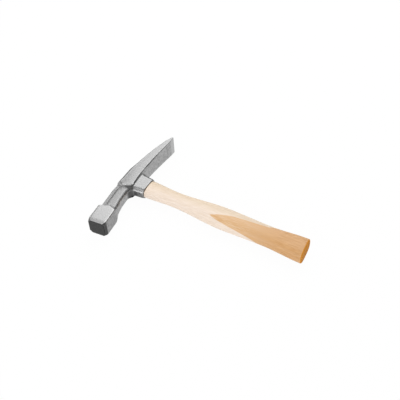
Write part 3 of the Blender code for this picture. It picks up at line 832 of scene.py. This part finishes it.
def tenon(hickory):
    """The CAD handle's tenon, lengthened into the turned handle and closed there."""
    shape = merged_copy("handle")
    cut = bmesh.ops.bisect_plane(
        shape, geom=shape.verts[:] + shape.edges[:] + shape.faces[:], dist=SAME_PLACE,
        plane_co=(SHOULDER_X - TENON_CUT, 0.0, 0.0), plane_no=(1.0, 0.0, 0.0), clear_outer=True)
    rim = [element for element in cut["geom_cut"] if isinstance(element, bmesh.types.BMEdge)]
    stretched = bmesh.ops.extrude_edge_only(shape, edges=rim)["geom"]
    loop = [element for element in stretched if isinstance(element, bmesh.types.BMVert)]
    bmesh.ops.translate(shape, verts=loop, vec=(TENON_SUNK, 0.0, 0.0))
    bmesh.ops.holes_fill(shape, edges=[edge for edge in shape.edges if edge.is_boundary], sides=0)
    bmesh.ops.recalc_face_normals(shape, faces=shape.faces)
    mesh = bpy.data.meshes.new("tenon")
    shape.to_mesh(mesh)
    shape.free()
    mesh.materials.clear()
    mesh.materials.append(hickory)
    return add_piece("tenon", mesh)


def hickory_handle(hickory):
    """The handle: turned by its geometry nodes and joined with the tenon."""
    tree, settings = handle_turning(hickory)
    blank = add_piece("handle_blank", bpy.data.meshes.new("handle_blank"))
    turning = blank.modifiers.new("turning", "NODES")
    turning.node_group = tree
    for identifier, value in settings.items():
        turning[identifier] = value
    body = evaluated_copy(blank)
    bpy.data.objects.remove(blank)
    close_skin(body)

    tool = tenon(hickory)
    joined = add_piece("joined_handle", body)
    union = joined.modifiers.new("tenon", "BOOLEAN")
    union.operation = "UNION"
    union.solver = "EXACT"
    union.object = tool
    whole = evaluated_copy(joined)
    bpy.data.objects.remove(joined)
    bpy.data.objects.remove(tool)
    close_skin(whole)
    whole.name = "hickory_handle"
    whole.materials.clear()
    whole.materials.append(hickory)
    whole.shade_smooth()
    whole.set_sharp_from_angle(angle=SHARP_ANGLE)
    handle = add_piece("hickory_handle", whole)
    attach(handle, "root")
    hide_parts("handle")


def finish_wedges():
    """Gives the CAD wedges their finishes."""
    steel = rolled_wedge_steel()
    finishes = {
        "wood_wedge": sawn_wedge_hardwood(),
        "steel_wedge_poll_side": steel,
        "steel_wedge_blade_side": steel,
    }
    for name, finish in finishes.items():
        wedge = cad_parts[name].data
        wedge.materials.clear()
        wedge.materials.append(finish)


def matt_white_paper():
    """Seamless studio paper, white to the camera and in the steel, and still taking the shadow."""
    material, tree, shader = new_material("matt_white_paper")
    place = add(tree, "ShaderNodeTexCoord").outputs["Object"]
    # Fibres are about 2 mm long
    fibres = add(tree, "ShaderNodeTexNoise", {"Vector": place, "Scale": 1 / (2 * MM), "Detail": 2.0})
    colour = add(tree, "ShaderNodeMix", {
        "Factor": fibres.outputs["Fac"], "A": linear("#F2F2F2"), "B": linear("#F6F6F6")}, data_type="RGBA")
    link(tree, colour.outputs["Result"], shader, "Base Color")
    shader.inputs["Roughness"].default_value = 1.0
    shader.inputs["Specular IOR Level"].default_value = 0.0
    rays = add(tree, "ShaderNodeLightPath").outputs
    seen = add(tree, "ShaderNodeMath", {
        0: rays["Is Camera Ray"], 1: rays["Is Glossy Ray"]}, operation="MAXIMUM").outputs[0]
    seen = add(tree, "ShaderNodeMath", {
        0: seen, 1: rays["Is Transmission Ray"]}, operation="MAXIMUM").outputs[0]
    share = add(tree, "ShaderNodeMath", {0: seen, 1: PAPER_GLOW}, operation="MULTIPLY").outputs[0]
    glow = add(tree, "ShaderNodeEmission", {"Color": linear("#FFFFFF"), "Strength": 1.0})
    paper = add(tree, "ShaderNodeMixShader", {
        0: share, 1: shader.outputs["BSDF"], 2: glow.outputs["Emission"]})
    tree.links.new(paper.outputs["Shader"], tree.nodes["Material Output"].inputs["Surface"])
    return material


def lay_floor():
    """The paper under the hammer."""
    shape = bmesh.new()
    bmesh.ops.create_grid(shape, x_segments=1, y_segments=1, size=FLOOR_HALF)
    mesh = bpy.data.meshes.new("floor")
    shape.to_mesh(mesh)
    shape.free()
    mesh.materials.append(matt_white_paper())
    floor = add_piece("floor", mesh)


def light_dome():
    """A soft white dome, dimmer towards the horizon and white to the camera."""
    world = bpy.data.worlds.new("soft_dome")
    bpy.context.scene.world = world
    world.use_nodes = True
    tree = world.node_tree
    up = add(tree, "ShaderNodeSeparateXYZ", {"Vector": add(tree, "ShaderNodeTexCoord").outputs["Generated"]})
    dome = add(tree, "ShaderNodeMapRange", {
        "Value": up.outputs["Z"], "From Min": 0.30, "From Max": 0.66, "To Min": 0.18, "To Max": 0.58},
        interpolation_type="SMOOTHSTEP").outputs["Result"]
    seen = add(tree, "ShaderNodeLightPath").outputs["Is Camera Ray"]
    strength = add(tree, "ShaderNodeMath", {0: dome, 1: seen}, operation="MAXIMUM")
    link(tree, strength.outputs[0], tree.nodes["Background"], "Strength")
    tree.nodes["Background"].inputs["Color"].default_value = linear("#FFFFFF")


def set_lamps():
    """Softboxes, strips and cards, each turned to the eye."""
    for name, towards, width, height, watts in LAMPS:
        light = bpy.data.lights.new(name, "AREA")
        light.shape = "RECTANGLE"
        light.size = width
        light.size_y = height
        light.energy = watts
        lamp = bpy.data.objects.new(name, light)
        bpy.context.scene.collection.objects.link(lamp)
        lamp.location = EYE_MIDDLE + Vector(towards) * LAMP_DISTANCE
        lamp.rotation_euler = (-Vector(towards)).to_track_quat("-Z", "Y").to_euler()


def set_camera():
    """The camera, at the photograph's angle."""
    lens = bpy.data.cameras.new("camera")
    lens.lens = CAMERA_LENS
    lens.sensor_width = CAMERA_SENSOR
    camera = bpy.data.objects.new("camera", lens)
    bpy.context.scene.collection.objects.link(camera)
    camera.location = CAMERA_PLACE
    camera.rotation_euler = CAMERA_TURN
    bpy.context.scene.camera = camera
    bpy.context.scene.view_settings.view_transform = "Standard"


forged_head(forged_shot_blasted_steel())
hickory_handle(lacquered_hickory())
finish_wedges()
lay_floor()
light_dome()
set_lamps()
set_camera()
